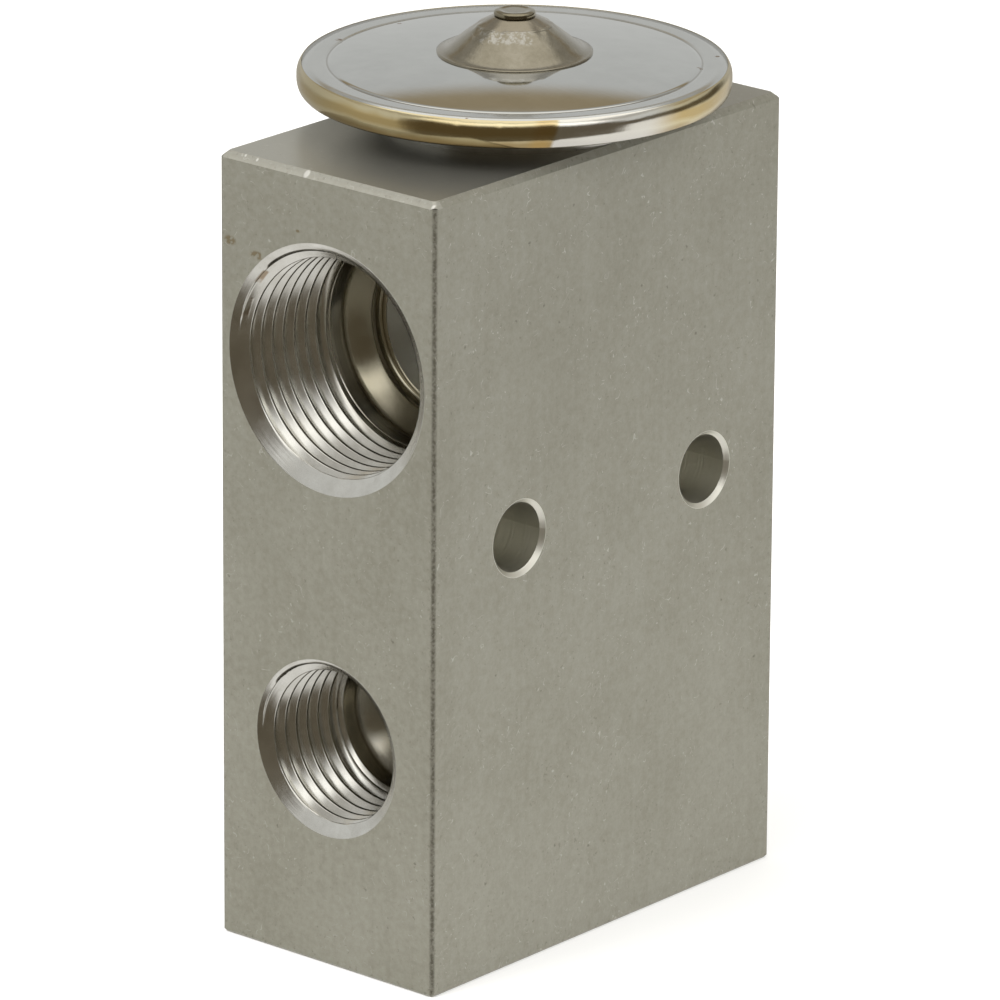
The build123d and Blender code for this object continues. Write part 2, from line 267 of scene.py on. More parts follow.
def startMaterial(name, **fixed):
    # A Principled material with uniform values set on its own sockets; also gives its shader and Object place.
    material = bpy.data.materials.new(name)
    material.use_nodes = True
    shader = material.node_tree.nodes["Principled BSDF"]
    for key, value in fixed.items():
        socket = shader.inputs[key.replace("_", " ")]
        socket.default_value = (*value, 1) if isinstance(value, tuple) else value
    place = Wire(material.node_tree).node("ShaderNodeTexCoord", {}, {}, "Object")
    return material, shader, place


def feed(shader, **values):
    for key, value in values.items():
        shader.id_data.links.new(value.socket, shader.inputs[key.replace("_", " ")])


def axisDistance(a, b, centre):
    # Distance of a point from a line along the third axis.
    return ((a - centre[0]) ** 2 + (b - centre[1]) ** 2).root()


def fromMiddle(value, middle=0.0):
    return (value - middle).maths("ABSOLUTE", value - middle)


def strongest(values):
    # The largest of several shader values at each point.
    return reduce(Wire.most, values)


def disc(distance, radius):
    # 1 within half the radius (millimetres), easing to 0 at the radius.
    return distance.fall((radius * 0.5, radius))


# machined and cast finishes
satinBlock = {
    "colour": (0.341, 0.332, 0.277),
    "darker": (0.299, 0.289, 0.2365),
    "paler": (0.378, 0.370, 0.316),
    "paintedSideShade": 0.09,        # painted shade: the wide faces are darker by this, and every side by the next value towards the top
    "paintedTopShade": 0.12,
    "pit": (0.15, 0.138, 0.108),
    # colour of the painted dark reflection on the rounded upright edges
    "edge": (0.105, 0.096, 0.072),
    "scratch": (0.55, 0.54, 0.50),
    "stain": (0.17, 0.125, 0.06),
    "burr": (0.60, 0.59, 0.55),
    "machined": (0.88, 0.865, 0.79),
    "metallic": 0.55,
    "roughness": 0.42,
    "topRoughness": 0.33,
    "topColour": (0.45, 0.44, 0.39),
    "topBrown": (0.30, 0.278, 0.225),
    # x, z, half width, half height, in millimetres
    "stains": [(-11.7, 67.7, 0.9, 0.55), (-8.4, 66.9, 1.1, 0.5), (-3.4, 70.2, 0.35, 0.2)],
    # x, z, radius, in millimetres
    "burrs": [(-2.6, 75.7, 0.38), (12.55, 75.6, 0.2), (-8.7, 75.8, 0.16), (-10.2, 75.9, 0.14)],
    "bands": {                # where a mask starts and ends, millimetres from an edge or a face
        "nearEdge": (0.1, 1.3),
        "pastSides": (0.5, 0.56),
        "pastCaps": (0.28, 0.32),
        "ends": (0.1, 0.4),
        "edgeReflectionLine": (0.16, 0.44),
        "edgeReflectionReach": (1.0, 1.2),
        "front": (1.2, 1.0),
        "boltRim": (3.71, 3.74),         # radius
        "brownTop": (6, 20),             # y
    },
    "patches": {              # noise scale and detail, then the two levels between which a patch fades in
        "pitAreas": (300.0, 2.0, 0.50, 0.58),
        "finePits": (3100.0, 2.0, 0.64, 0.70),
        "finePitAreas": (420.0, 2.0, 0.46, 0.60),
        "hairPieces": (1250.0, 1.0, 0.57, 0.63),
        "hairAreas": (190.0, 1.0, 0.47, 0.58),
        "strokes": (1.0, 1.0, 0.70, 0.76),
        "edgeReflectionGrain": (3400.0, 2.0, 0.36, 0.64, 0.35, 0.90),
        "stainGrain": (2300.0, 3.0, 0.42, 0.56),
    },
    "shares": {"top": 0.9, "pitted": 0.7, "scratch": 0.48, "stain": 0.75, "chamfer": 0.22, "burr": 0.8,
               "pits": 0.8, "finePits": 0.5, "edgePits": 0.6},
}
boltHoleYs = [-12.6 * mm, 13.9 * mm]
boltZ = 41.6 * mm
topChamfer = 0.6 * mm


def blockMaterial():
    values = satinBlock
    bands, patch, share = values["bands"], values["patches"], values["shares"]
    material, shader, place = startMaterial("satinAluminium", Specular_IOR_Level=0.3)
    x, y, z = place.parts()
    # masks: how near a point is to an edge of the bar, and which surfaces are machined
    fromSide, fromEnd = blockHigh.x - fromMiddle(x), faceY - fromMiddle(y)
    fromCap = z.least(blockTop - z)
    nearer, further = fromSide.least(fromEnd), fromSide.most(fromEnd)
    nearEdge = nearer.most(further.least(fromCap)).fall(bands["nearEdge"])
    inner = nearer.rise(bands["pastSides"]) * fromCap.rise(bands["pastCaps"])
    top = z.ramp(blockTop - 0.02 * mm, blockTop - 0.01 * mm)
    chamfer = z.ramp(blockTop - topChamfer, blockTop - topChamfer + 0.01 * mm) * (1 - top)
    holes = strongest(axisDistance(y, z, (holeY, boltZ)).fall(bands["boltRim"]) for holeY in boltHoleYs)
    machined = inner.most(holes)
    # faint streaks along the bar, fine mottling and broad clouding
    streaks = place.stretched((1100, 1100, 9)).noise(1.0, 3.0, 0.6)
    mottle = place.noise(1500.0, 5.0, 0.75)
    clouds = place.noise(75.0, 3.0, 0.55)
    tone = streaks * 0.12 + mottle * 0.58 + clouds * 0.30
    colour = tone.tinted([(0.38, values["darker"]), (0.50, values["colour"]), (0.62, values["paler"])])
    # painted shade: the colour darkens towards the top, and by a further share everywhere but on the port faces
    # at the two ends
    ends = fromEnd.fall(bands["ends"])
    shade = z.ramp(0.0, blockTop, 0.0, values["paintedTopShade"]) + (1 - ends) * values["paintedSideShade"]
    colour = shade.blend(colour, (0.0, 0.0, 0.0))
    brown = y.rise(bands["brownTop"]).blend(values["topColour"], values["topBrown"])
    colour = (top * share["top"]).blend(colour, brown)
    # ragged little pits, a few larger ones, thicker along the edges
    ragged = place.shaken(3800.0, 0.0004)
    pits = ragged.spots(520.0).ramp(0.04, 0.11, 1.0, 0.0) * place.patches(*patch["pitAreas"])
    finePits = place.patches(*patch["finePits"]) * place.patches(*patch["finePitAreas"])
    edgePits = ragged.spots(1500.0).ramp(0.12, 0.26, 1.0, 0.0) * nearEdge
    pitted = pits * share["pits"] + finePits * share["finePits"] + edgePits * share["edgePits"]
    pitted = pitted.least(1.0) * (1 - top * 0.7)
    # hair lines: where a smooth noise crosses its middle, cut into short pieces
    hairs = []
    for offset in (0.0, 0.37):
        shifted = place.stretched((1, 1, 1), (offset, offset * 0.7, offset * 1.9))
        line = fromMiddle(shifted.noise(620.0, 1.0), 0.5).ramp(0.002, 0.009, 1.0, 0.0)
        hairs.append(line * shifted.patches(*patch["hairPieces"]) * shifted.patches(*patch["hairAreas"]))
    # short pale scratches in two directions, most of them near the edges
    strokes = []
    for turn in (0.6, -0.9):
        leaned = place.node("ShaderNodeVectorRotate", {"rotation_type": "EULER_XYZ"},
                            {"Vector": place, "Rotation": (turn, turn * 0.7, turn)})
        areas = (leaned.noise(170.0, 1.0) + nearEdge * 0.08).ramp(0.54, 0.66)
        strokes.append(leaned.stretched((4200, 4200, 260)).patches(*patch["strokes"]) * areas)
    scratches = strongest(hairs + strokes)
    # painted reflection: a dark, speckled band down the rounded upright edges of the block
    paintedReflection = further.fall(bands["edgeReflectionLine"]) * nearer.fall(bands["edgeReflectionReach"])
    paintedReflection = paintedReflection * place.patches(*patch["edgeReflectionGrain"])
    colour = paintedReflection.blend(colour, values["edge"])
    colour = (pitted * share["pitted"]).blend(colour, values["pit"])
    colour = (scratches * share["scratch"]).blend(colour, values["scratch"])
    # brown stains and bright burrs on the -Y face
    front = (y * -1).ramp(*(faceY - back * mm for back in bands["front"]))
    stained = strongest(disc(axisDistance((x - stainX * mm) / wide, (z - stainZ * mm) / high, (0.0, 0.0)), 1.0)
                        for stainX, stainZ, wide, high in values["stains"])
    stained = stained * front * place.patches(*patch["stainGrain"])
    colour = (stained * share["stain"]).blend(colour, values["stain"])
    burrs = strongest(disc(axisDistance(x, z, (burrX * mm, burrZ * mm)), radius)
                      for burrX, burrZ, radius in values["burrs"]) * front
    bright = (chamfer * front * share["chamfer"] + burrs * share["burr"]).least(1.0)
    colour = bright.blend(colour, values["burr"])
    colour = machined.blend(colour, values["machined"])
    rings = x.node("ShaderNodeCombineXYZ", {}, {"X": x + y * 0.05}).noise(2600.0, 3.0)
    metallic = machined.most(top * 0.6).ramp(0, 1, values["metallic"], 1.0)
    roughness = (tone - 0.5) * 0.22 + pitted * 0.2 + values["roughness"] - machined * 0.02
    roughness = top.ramp(0, 1) * (values["topRoughness"] - values["roughness"]) + roughness
    height = mottle * 0.45 + streaks * 0.30 - pitted * 1.5 + scratches * 0.3 + burrs * 2.0
    height = height + rings * machined * 3.0
    feed(shader, Base_Color=colour, Metallic=metallic, Roughness=roughness, Normal=height.bump(0.16, 0.1 * mm))
    return material


turnedFinish = {
    "colour": (0.80, 0.79, 0.75),
    "shade": (0.68, 0.665, 0.62),
    "burr": (0.30, 0.20, 0.10),
    # colour of the painted shade deeper in the bore
    "deepShade": (0.36, 0.315, 0.20),
    "deepShadeDepth": (9.5, 14.5),            # millimetres from the face
    "deepShadeShare": 0.75,
    "roughness": 0.19,
    "tornTurn": (-1.30, -0.70, 0.06),    # radians from +Z, and how softly it ends
    "tornDepth": (0.40, 0.80, 0.05),     # millimetres
}


def boreMaterial(name, centreZ, burr):
    # Lathe marks are noise read along the depth and radius, with a little run-out round the axis.
    values = turnedFinish
    material, shader, place = startMaterial(name, Metallic=1.0)
    x, y, z = place.parts()
    reach = axisDistance(x, z, (0.0, centreZ))
    marks = place.node("ShaderNodeCombineXYZ", {}, {"X": y + reach, "Y": x * 0.02, "Z": z * 0.02})
    fine = marks.noise(9000.0, 2.0)
    coarse = marks.noise(2300.0, 2.0)
    smear = place.noise(420.0, 3.0)
    grit = place.noise(3000.0, 3.0)
    colour = smear.tinted([(0.35, values["shade"]), (0.65, values["colour"])])
    height = fine * 0.6 + coarse
    depth = faceY - fromMiddle(y)
    # painted shade: the wall darkens deeper in the bore
    colour = depth.rise(values["deepShadeDepth"], values["deepShadeShare"]).blend(colour, values["deepShade"])
    if burr:
        # torn metal where the first crest runs out into the mouth
        angle = x.maths("ARCTAN2", x, z - centreZ)
        torn = angle.within(*values["tornTurn"]) * depth.within(*(value * mm for value in values["tornDepth"]))
        torn = torn * smear.ramp(0.44, 0.56)
        colour = (torn * 0.75).blend(colour, values["burr"])
        height = height + torn * 3.0
    roughness = smear * 0.12 + grit * 0.08 + values["roughness"] - 0.08
    feed(shader, Base_Color=colour, Roughness=roughness, Normal=height.bump(0.16, 0.06 * mm))
    return material


brightSheet = {
    "low": (0.565, 0.57, 0.555),
    "high": (0.615, 0.62, 0.605),
    "rust": (0.20, 0.11, 0.05),
    # colour of the painted shade along the crease
    "crease": (0.22, 0.20, 0.16),
    "roughness": 0.025,
    "flangeRoughness": 0.12,
    "flange": (17.1, 17.4),              # radii in millimetres, also below
    "creaseR": 17.24,
    "creaseWidth": (0.04, 0.14),
    "speckGrain": (3200.0, 3.0, 0.40, 0.52),
    # x, y, radius
    "specks": [(14.2, 11.0, 0.38), (-16.9, -3.8, 0.42), (-16.1, 3.8, 0.3), (12.8, 15.2, 0.3),
               (9.0, -15.6, 0.2)],
}


def sheetMaterial():
    # Bright drawn sheet: nearly a mirror, with faint haze, a satin flange, a few rust specks near the rim and
    # painted shade along the crease.
    values = brightSheet
    material, shader, place = startMaterial("brightSheet", Metallic=1.0)
    x, y, z = place.parts()
    radius = axisDistance(x, y, (0.0, axisY))
    haze = place.noise(300.0, 4.0, 0.6)
    hair = place.stretched((500, 4200, 500)).noise(1.0, 2.0)
    colour = haze.tinted([(0.3, values["low"]), (0.7, values["high"])])
    flange = radius.rise(values["flange"])
    specks = strongest(disc(axisDistance(x, y, (speckX * mm, speckY * mm)), wide)
                       for speckX, speckY, wide in values["specks"])
    specks = specks * place.patches(*values["speckGrain"])
    # painted shade: a thin dark line along the crease
    crease = fromMiddle(radius, values["creaseR"] * mm).fall(values["creaseWidth"])
    colour = (specks * 0.8).blend(colour, values["rust"])
    colour = (crease * 0.45).blend(colour, values["crease"])
    roughness = haze * 0.05 + hair * 0.02 + flange * values["flangeRoughness"]
    roughness = roughness + specks * 0.3 + values["roughness"]
    feed(shader, Base_Color=colour, Roughness=roughness, Normal=(haze * 0.5 + hair * 0.2).bump(0.04, 0.1 * mm))
    return material


plugFinish = {
    "low": (0.23, 0.205, 0.15),
    "middle": (0.29, 0.262, 0.20),
    "high": (0.37, 0.34, 0.275),
    "capTint": (0.27, 0.23, 0.165),
    "nubTint": (0.25, 0.22, 0.145),
    # colour of the painted highlight under the shoulder line
    "paintedReflection": (0.46, 0.45, 0.42),
    "ragged": 0.9,                       # how far the cap's line strays, millimetres
    "cap": (3.42, 3.52),                 # radii, millimetres
    "highlightTurn": (-2.05, -0.45, 0.12),    # radians from +X, and how softly it ends
    "highlightBand": (3.5, 4.5, 0.15),        # radii, millimetres
}


def plugMaterial():
    # Satin cone, a darker cap above a ragged line, a painted highlight of bright grain under that line on the
    # side turned to the front, and a dark glossy nub.
    values = plugFinish
    material, shader, place = startMaterial("satinPlug", Metallic=1.0, Coat_Weight=0.4, Coat_Roughness=0.10)
    x, y, z = place.parts()
    angle = (y - axisY).maths("ARCTAN2", y - axisY, x)
    radius = axisDistance(x, y, (0.0, axisY))
    grain = place.noise(2100.0, 4.0, 0.7)
    patch = place.noise(240.0, 3.0)
    tone = grain * 0.35 + patch * 0.65
    colour = tone.tinted([(0.36, values["low"]), (0.52, values["middle"]), (0.70, values["high"])])
    ridge = radius + (patch - 0.5) * values["ragged"] * mm
    cap = ridge.fall(values["cap"])
    nub = z.ramp(plugTopZ() + 0.02 * mm, plugTopZ() + 0.06 * mm)
    # painted highlight: bright grain under the shoulder line, only on the side turned to the front
    paintedReflection = angle.within(*values["highlightTurn"]) * ridge.within(*(value * mm for value in values["highlightBand"]))
    paintedReflection = paintedReflection * grain.ramp(0.44, 0.62)
    colour = (cap * 0.6).blend(colour, values["capTint"])
    colour = (nub * 0.85).blend(colour, values["nubTint"])
    colour = (paintedReflection * 0.75).blend(colour, values["paintedReflection"])
    roughness = grain * 0.14 + patch * 0.08 + 0.10 - nub * 0.12 - paintedReflection * 0.05
    height = grain + patch * 0.5 - cap * 0.8
    feed(shader, Base_Color=colour, Roughness=roughness, Normal=height.bump(0.22, 0.08 * mm))
    return material


weldTint = {
    "gold": (0.58, 0.45, 0.22),
    "straw": (0.70, 0.61, 0.39),
    "silver": (0.82, 0.81, 0.78),
    "brown": (0.40, 0.30, 0.15),
    # colour of the painted shade on the bead's sides turned from the front
    "brass": (0.34, 0.28, 0.16),
    "burnt": (0.55, 0.33, 0.08),
    "middle": -0.80,         # angle facing the front, where the straw and gold are clearest and the painted shade least, radians from +X
    "shadedAway": (0.75, 1.25, 0.0, 0.55),     # turn from that middle over which the painted shade in brass comes in, and its share
    "start": -0.695,         # angle where the pass begins and overlaps
    "startEase": 0.012,
    "overlap": 0.44,
    "overlapFade": 0.25,
    "slant": 0.035,          # how far the overlap's edge leans from top to bottom
}


def weldMaterial():
    # Heat colours: straw and gold that change with height and slowly round the rim, silver on the overlap, and
    # painted shade in darker brass on the sides turned from the front.
    values = weldTint
    material, shader, place = startMaterial("weldBead", Metallic=1.0)
    x, y, z = place.parts()
    angle = (y - axisY).maths("ARCTAN2", y - axisY, x)
    drift = place.noise(110.0, 3.0)
    rise = z.ramp(weldLow.z, weldHigh.z)
    band = rise + (drift - 0.5) * 0.9
    colour = band.tinted([(0.05, values["brown"]), (0.28, values["straw"]), (0.50, values["gold"]),
                          (0.78, values["gold"]), (0.95, values["straw"])])
    lead = angle - rise * values["slant"]
    begin, end = values["start"], values["start"] + values["overlap"]
    burnt = lead.within(begin - 0.10, begin - 0.01, 0.03)
    colour = (burnt * 0.4).blend(colour, values["burnt"])
    # painted shade: darker brass on the bead's sides, turned away from the front
    shadedAway = fromMiddle(angle, values["middle"]).ramp(*values["shadedAway"])
    colour = shadedAway.blend(colour, values["brass"])
    over = lead.ramp(begin - values["startEase"], begin + values["startEase"])
    over = over * lead.ramp(end, end + values["overlapFade"], 1.0, 0.0)
    colour = (over * 0.85).blend(colour, values["silver"])
    roughness = place.noise(520.0, 3.0) * 0.14 + drift * 0.08 + 0.06
    feed(shader, Base_Color=colour, Roughness=roughness, Normal=place.noise(900.0, 3.0).bump(0.12, 0.1 * mm))
    return material


def plainMetal(name, colour, roughness, turnedScale=3500.0, strength=0.12):
    # Turned metal on the valve axis: marks follow height and radius, with a slight blotch.
    material, shader, place = startMaterial(name, Metallic=1.0)
    x, y, z = place.parts()
    radius = axisDistance(x, y, (0.0, axisY))
    marks = place.node("ShaderNodeCombineXYZ", {}, {"X": z + radius}).noise(turnedScale, 2.0)
    blotch = place.noise(420.0, 3.0)
    shade = tuple(value * 0.78 for value in colour)
    feed(shader, Base_Color=blotch.tinted([(0.3, shade), (0.65, colour)]),
         Roughness=blotch * 0.2 + roughness - 0.1, Normal=(marks + blotch * 0.3).bump(strength, 0.06 * mm))
    return material


rubberLook = {"low": (0.012, 0.03, 0.02), "high": (0.025, 0.055, 0.036), "roughness": 0.42}


def rubberMaterial():
    material, shader, place = startMaterial("sealRubber", Metallic=0.0, IOR=1.5)
    grain = place.noise(2200.0, 3.0)
    feed(shader, Base_Color=grain.tinted([(0.3, rubberLook["low"]), (0.7, rubberLook["high"])]),
         Roughness=grain * 0.2 + rubberLook["roughness"], Normal=grain.bump(0.1, 0.05 * mm))
    return material


# threaded ports
threadPitch = 1.5 * mm
suctionSteps = {"z": 57.7, "thread": 11.0, "minor": 10.23, "mouth": 11.85, "phase": 0.0, "land": 11.9,
                "seal": 10.15, "sealEnd": 13.8, "pilot": 8.3, "pilotEnd": 16.8, "passage": 7.5}
portSizes = {                 # millimetres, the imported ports' own steps
    "suctionOutlet": {"side": -1, **suctionSteps},
    "suctionInlet": {"side": 1, **suctionSteps},
    "liquidInlet": {"side": -1, "z": 21.2, "thread": 8.0, "minor": 7.23, "mouth": 8.55, "phase": -0.13,
                    "land": 10.1, "seal": 6.9, "sealEnd": 12.0, "pilot": 4.85, "pilotEnd": 16.0, "passage": 0.0},
    "liquidOutlet": {"side": 1, "z": 27.0, "thread": 9.0, "minor": 8.23, "mouth": 9.6, "phase": 0.2,
                     "land": 10.8, "seal": 8.0, "sealEnd": 12.6, "pilot": 6.4, "pilotEnd": 16.0, "passage": 0.0},
}
liningGap = 0.02 * mm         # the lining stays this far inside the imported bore
threadForm = {"crest": 0.17, "root": 0.08, "corner": 0.018}       # shares of a pitch
mouthSlope = 1.72             # fall of radius for each length of depth, a cone of about 60 degrees to the axis
liningShape = {               # millimetres, apart from the two shares
    "startShare": 0.3,        # share of the mouth cone that the plain rows in front of the thread take
    "runOut": 0.3,            # thread end before the land's end
    "fadeShare": 0.45,        # share of a pitch in which the last groove runs out
    "firstRoot": 0.09,        # the groove bites this much deeper where it starts in the mouth
    "firstDepth": 0.8,
    "firstOver": 0.3,
    "sealLead": 0.05,
    "pilotLead": 0.2,
    "roundings": [0.05, 0.05, 0.4, 0.12, 0.06, 0.06],
    "longest": 0.6,
}


def threadPhases():
    # Places along one pitch, from -0.5 to 0.5, with close rows on both sides of each corner.
    crest, root, corner = threadForm["crest"] / 2, 0.5 - threadForm["root"] / 2, threadForm["corner"]
    half = np.array([crest - 2 * corner, crest - corner, crest + corner, crest + 2 * corner, (crest + root) / 2,
                     root - 2 * corner, root - corner, root + corner])
    return np.concatenate([-half[::-1], [0], half, [0.5]])


def threadShare(phases):
    # Groove depth, 0 on the crest and 1 at the root, straight between them.
    crest, root = threadForm["crest"] / 2, 0.5 - threadForm["root"] / 2
    return np.clip((np.abs(phases) - crest) / (root - crest), 0, 1)


def portLining(name, size, columns=264):
    # Wall radius = the larger of the helical groove and the mouth cone; rows follow the helix
    # (depth = pitch * (row + turn)), held between the mouth and the end of the thread.
    radius = {key: value * mm for key, value in size.items() if key not in ("side", "z")}
    shape = liningShape
    turn = np.linspace(0, 1, columns + 1)
    mouthR = radius["mouth"] - liningGap
    threadR = radius["thread"] - liningGap / 2
    threadEnd = radius["land"] - shape["runOut"] * mm
    start = shape["startShare"] * (mouthR - threadR) / mouthSlope
    phases = threadPhases()
    turns = int(math.ceil(threadEnd / threadPitch)) + 1
    steps = (np.arange(-1, turns + 1)[:, None] + phases).reshape(-1)
    depth = np.clip((steps[:, None] + turn) * threadPitch + radius["phase"], start, threadEnd)
    groove = np.tile(threadShare(phases), turns + 2)[:, None]
    fade = np.clip((threadEnd - depth) / (shape["fadeShare"] * threadPitch), 0, 1)
    first = np.clip((shape["firstDepth"] * mm - depth) / (shape["firstOver"] * mm), 0, 1)
    rootR = threadR + shape["firstRoot"] * mm * first
    wall = radius["minor"] + (rootR - radius["minor"]) * groove * fade
    wall = np.maximum(wall, mouthR - mouthSlope * depth)

    landEnd = radius["land"] - liningGap
    sealR = radius["seal"] - liningGap
    pilotR = radius["pilot"] - liningGap
    landStep = radius["minor"] - sealR
    coneEnd = radius["sealEnd"] + radius["seal"] - radius["pilot"] - liningGap
    pilotLead, passageR = shape["pilotLead"] * mm, radius["passage"] + liningGap
    inner = [(threadEnd, radius["minor"]), (landEnd - landStep, radius["minor"]), (landEnd, sealR),
             (radius["sealEnd"] - shape["sealLead"] * mm, sealR), (coneEnd, pilotR),
             (radius["pilotEnd"] - pilotLead, pilotR),
             (radius["pilotEnd"] - liningGap, pilotR - pilotLead), (radius["pilotEnd"] - liningGap, passageR)]
    inner = softCorners(inner, [rounding * mm for rounding in shape["roundings"]])
    inner = fillStretches(inner, shape["longest"] * mm)
    half = liningGap / 2
    back = [(radius["pilotEnd"] - half, passageR), (radius["pilotEnd"] - half, radius["pilot"] - half),
            (coneEnd + half, radius["pilot"] - half), (radius["sealEnd"] + half, radius["seal"] - half),
            (radius["land"] - half, radius["seal"] - half), (radius["land"] - half, threadR + half / 2),
            (radius["mouth"] - radius["thread"], threadR + half / 2)]
    mouth = [(0.0, mouthR + half)]
    mouth += [(d, mouthR - mouthSlope * d) for d in np.linspace(0, start, 5)[:-1]]
    tail = np.vstack([inner[1:], back])
    depth = np.vstack([np.repeat([[d] for d, r in mouth], columns + 1, 1), depth,
                       np.repeat(tail[:, :1], columns + 1, 1)])
    wall = np.vstack([np.repeat([[r] for d, r in mouth], columns + 1, 1), wall,
                      np.repeat(tail[:, 1:], columns + 1, 1)])
    # right-handed about the way in: the angle runs from +Z towards +X for a way in along +Y
    side = size["side"]
    angle = tau * np.where(turn == 1, 0, turn)
    centreZ = size["z"] * mm
    points = [-side * wall * np.sin(angle), side * (faceY - depth), centreZ + wall * np.cos(angle)]
    lining = sewGrid(name, np.stack(points, -1), loop=True)
    lining.data.materials.append(boreMaterial(name + "Wall", centreZ, burr=name == "suctionOutlet"))
    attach(lining, valveBody)
    return lining


# head
headColumns = 256             # points round the cover and the plug
domeSizes = {"flangeR": 19.58, "creaseR": 17.2, "rise": 1.15, "sheet": 0.8, "holeR": 1.5,
             "creaseDip": 0.07, "creaseSoft": 0.1, "edgeBand": 0.9, "edgeDip": 0.01}      # millimetres


def domeHeight(radius):
    # Height of the dome's outer face: a spherical cap through the crease.
    crease, rise = domeSizes["creaseR"] * mm, domeSizes["rise"] * mm
    ball = (crease ** 2 + rise ** 2) / (2 * rise)
    return flangeTop + rise - ball + np.sqrt(ball ** 2 - radius ** 2)


def topCover():
    # Sheet profile: hole wall, dome, a small step down at the crease, flat flange, edge and the same way back.
    size = {key: value * mm for key, value in domeSizes.items()}
    domeRadii = np.linspace(size["holeR"], size["creaseR"] - 0.12 * mm, 60)
    top = np.stack([domeRadii, domeHeight(domeRadii)], -1)
    step = np.array([(size["creaseR"], flangeTop - size["creaseDip"]),
                     (size["creaseR"] + 0.12 * mm, flangeTop - 0.06 * mm),
                     (size["creaseR"] + 0.32 * mm, flangeTop), (size["flangeR"] - size["edgeBand"], flangeTop)])
    edge = np.array([(size["flangeR"], flangeTop - size["edgeDip"]),
                     (size["flangeR"], flangeTop - size["sheet"])])
    under = np.stack([domeRadii[::-1], domeHeight(domeRadii[::-1]) - size["sheet"]], -1)
    crease = softCorners(np.vstack([top[-1:], step]), size["creaseSoft"])[1:]
    outline = np.vstack([top, crease, edge, [(size["creaseR"] + 0.5 * mm, flangeTop - size["sheet"])], under])
    spots = turnGrid(outline[::-1, 0], outline[::-1, 1], headColumns, (0, axisY, 0))
    cover = sewGrid("topCover", spots, loop=True)
    cover.data.materials.append(sheetMaterial())
    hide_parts("head_top_cover")
    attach(cover, valveBody)
    return cover


# millimetres
plugSizes = {"base": 7.2, "lip": 0.12, "flare": 1.1, "flareRise": 0.4, "shoulder": 3.45, "shoulderRise": 2.72,
             "top": 1.95, "rise": 3.42, "neck": 1.75, "neckHeight": 0.08, "nub": 1.95, "crown": 1.5,
             "nubHeight": 0.52, "dish": 1.1, "dishDepth": 0.08, "stem": 1.48, "stemDrop": 0.79,
             "rounding": 0.12, "longest": 0.2}
# how far the shoulder line and the nub stray, and how wide a band the shoulder's wander takes, millimetres
plugWander = {"sway": 0.10, "wave": 0.06, "ragged": 0.035, "nubSway": 0.05, "band": 0.6}


def plugTopZ():
    return float(domeHeight(plugSizes["base"] * mm)) + plugSizes["rise"] * mm


def chargePlug():
    # Profile turned about the valve axis: thin lip, flare, cone, shoulder whose radius wanders round the axis,
    # flatter cap, neck and crimped nub with a dished crown.
    size = {key: value * mm for key, value in plugSizes.items()}
    footZ = float(domeHeight(size["base"]))
    arcR = (size["flare"] ** 2 + size["flareRise"] ** 2) / (2 * size["flareRise"])
    sweep = np.linspace(0, 2 * math.atan(size["flareRise"] / size["flare"]), 7)
    flare = np.stack([size["base"] - arcR * np.sin(sweep), size["lip"] + arcR * (1 - np.cos(sweep))], -1)
    crown = size["rise"] + size["neckHeight"] + size["nubHeight"]
    neckTop = size["rise"] + size["neckHeight"]
    cap = [(0, crown - size["dishDepth"]), (size["dish"], crown - size["dishDepth"]), (size["crown"], crown),
           (size["nub"] - 0.08 * mm, crown - 0.1 * mm), (size["nub"], crown - 0.3 * mm),
           (size["nub"], neckTop), (size["neck"], neckTop), (size["neck"], size["rise"]),
           (size["top"], size["rise"]), (size["shoulder"], size["shoulderRise"]),
           (size["shoulder"] + 0.05 * mm, size["shoulderRise"] - 0.09 * mm), tuple(flare[-1])]
    outline = softCorners(cap, size["rounding"])
    outline = np.vstack([outline, flare[-2::-1], [(size["base"], 0.01 * mm)]])
    outline = fillStretches(outline, size["longest"]) + (0, footZ)
    below = np.linspace(size["base"], size["stem"], 12)
    under = np.stack([below, domeHeight(below) + 0.005 * mm], -1)
    stemZ = float(domeHeight(size["stem"])) - size["stemDrop"]
    outline = np.vstack([outline, under, [(size["stem"], stemZ), (0, stemZ)]])
    t = np.linspace(0, tau, headColumns + 1)
    t[-1] = 0
    radii = np.repeat(outline[:, :1], headColumns + 1, 1)
    heights = np.repeat(outline[:, 1:], headColumns + 1, 1)
    wander = plugWander
    near = np.exp(-((radii - size["shoulder"]) / (wander["band"] * mm)) ** 2) * (heights > footZ + size["lip"])
    stray = wander["sway"] * np.sin(t + 2.4) + wander["wave"] * np.sin(3 * t + 0.7) + \
        wander["ragged"] * (np.sin(11 * t) + np.sin(17 * t + 1.0) * 0.7)
    nubNear = (heights > footZ + size["rise"] + 0.02 * mm) * np.clip(radii / size["nub"], 0, 1)
    nubStray = wander["nubSway"] * (np.sin(2 * t + 0.5) + 0.6 * np.sin(5 * t + 2.0) - 1.2)
    radii = radii + near * stray * mm + nubNear * nubStray * mm
    plug = sewGrid("chargePlug", turnGrid(radii[::-1], heights[::-1], headColumns, (0, axisY, 0)))
    plug.data.materials.append(plugMaterial())
    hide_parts("charge_plug")
    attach(plug, valveBody)
    return plug


weldSizes = {"inner": 19.6, "start": 0.03, "bulge": 0.55, "over": 1.15, "under": 1.1,       # millimetres
             "slow": 0.025, "overlapHeight": 0.08, "nick": 0.05}
weldSwells = {
    "lapEase": 0.008,                         # radians, also below
    "lapFade": 0.08,
    "nicks": (-1.440, -1.125, -0.93, 2.2),    # angles of small nicks in the bead's upper edge
    "nickWide": 0.014,
    "nickDrop": 0.08,                         # shares of the bead's height, also below
    "nickTall": 0.14,
}
weldColumns = 900


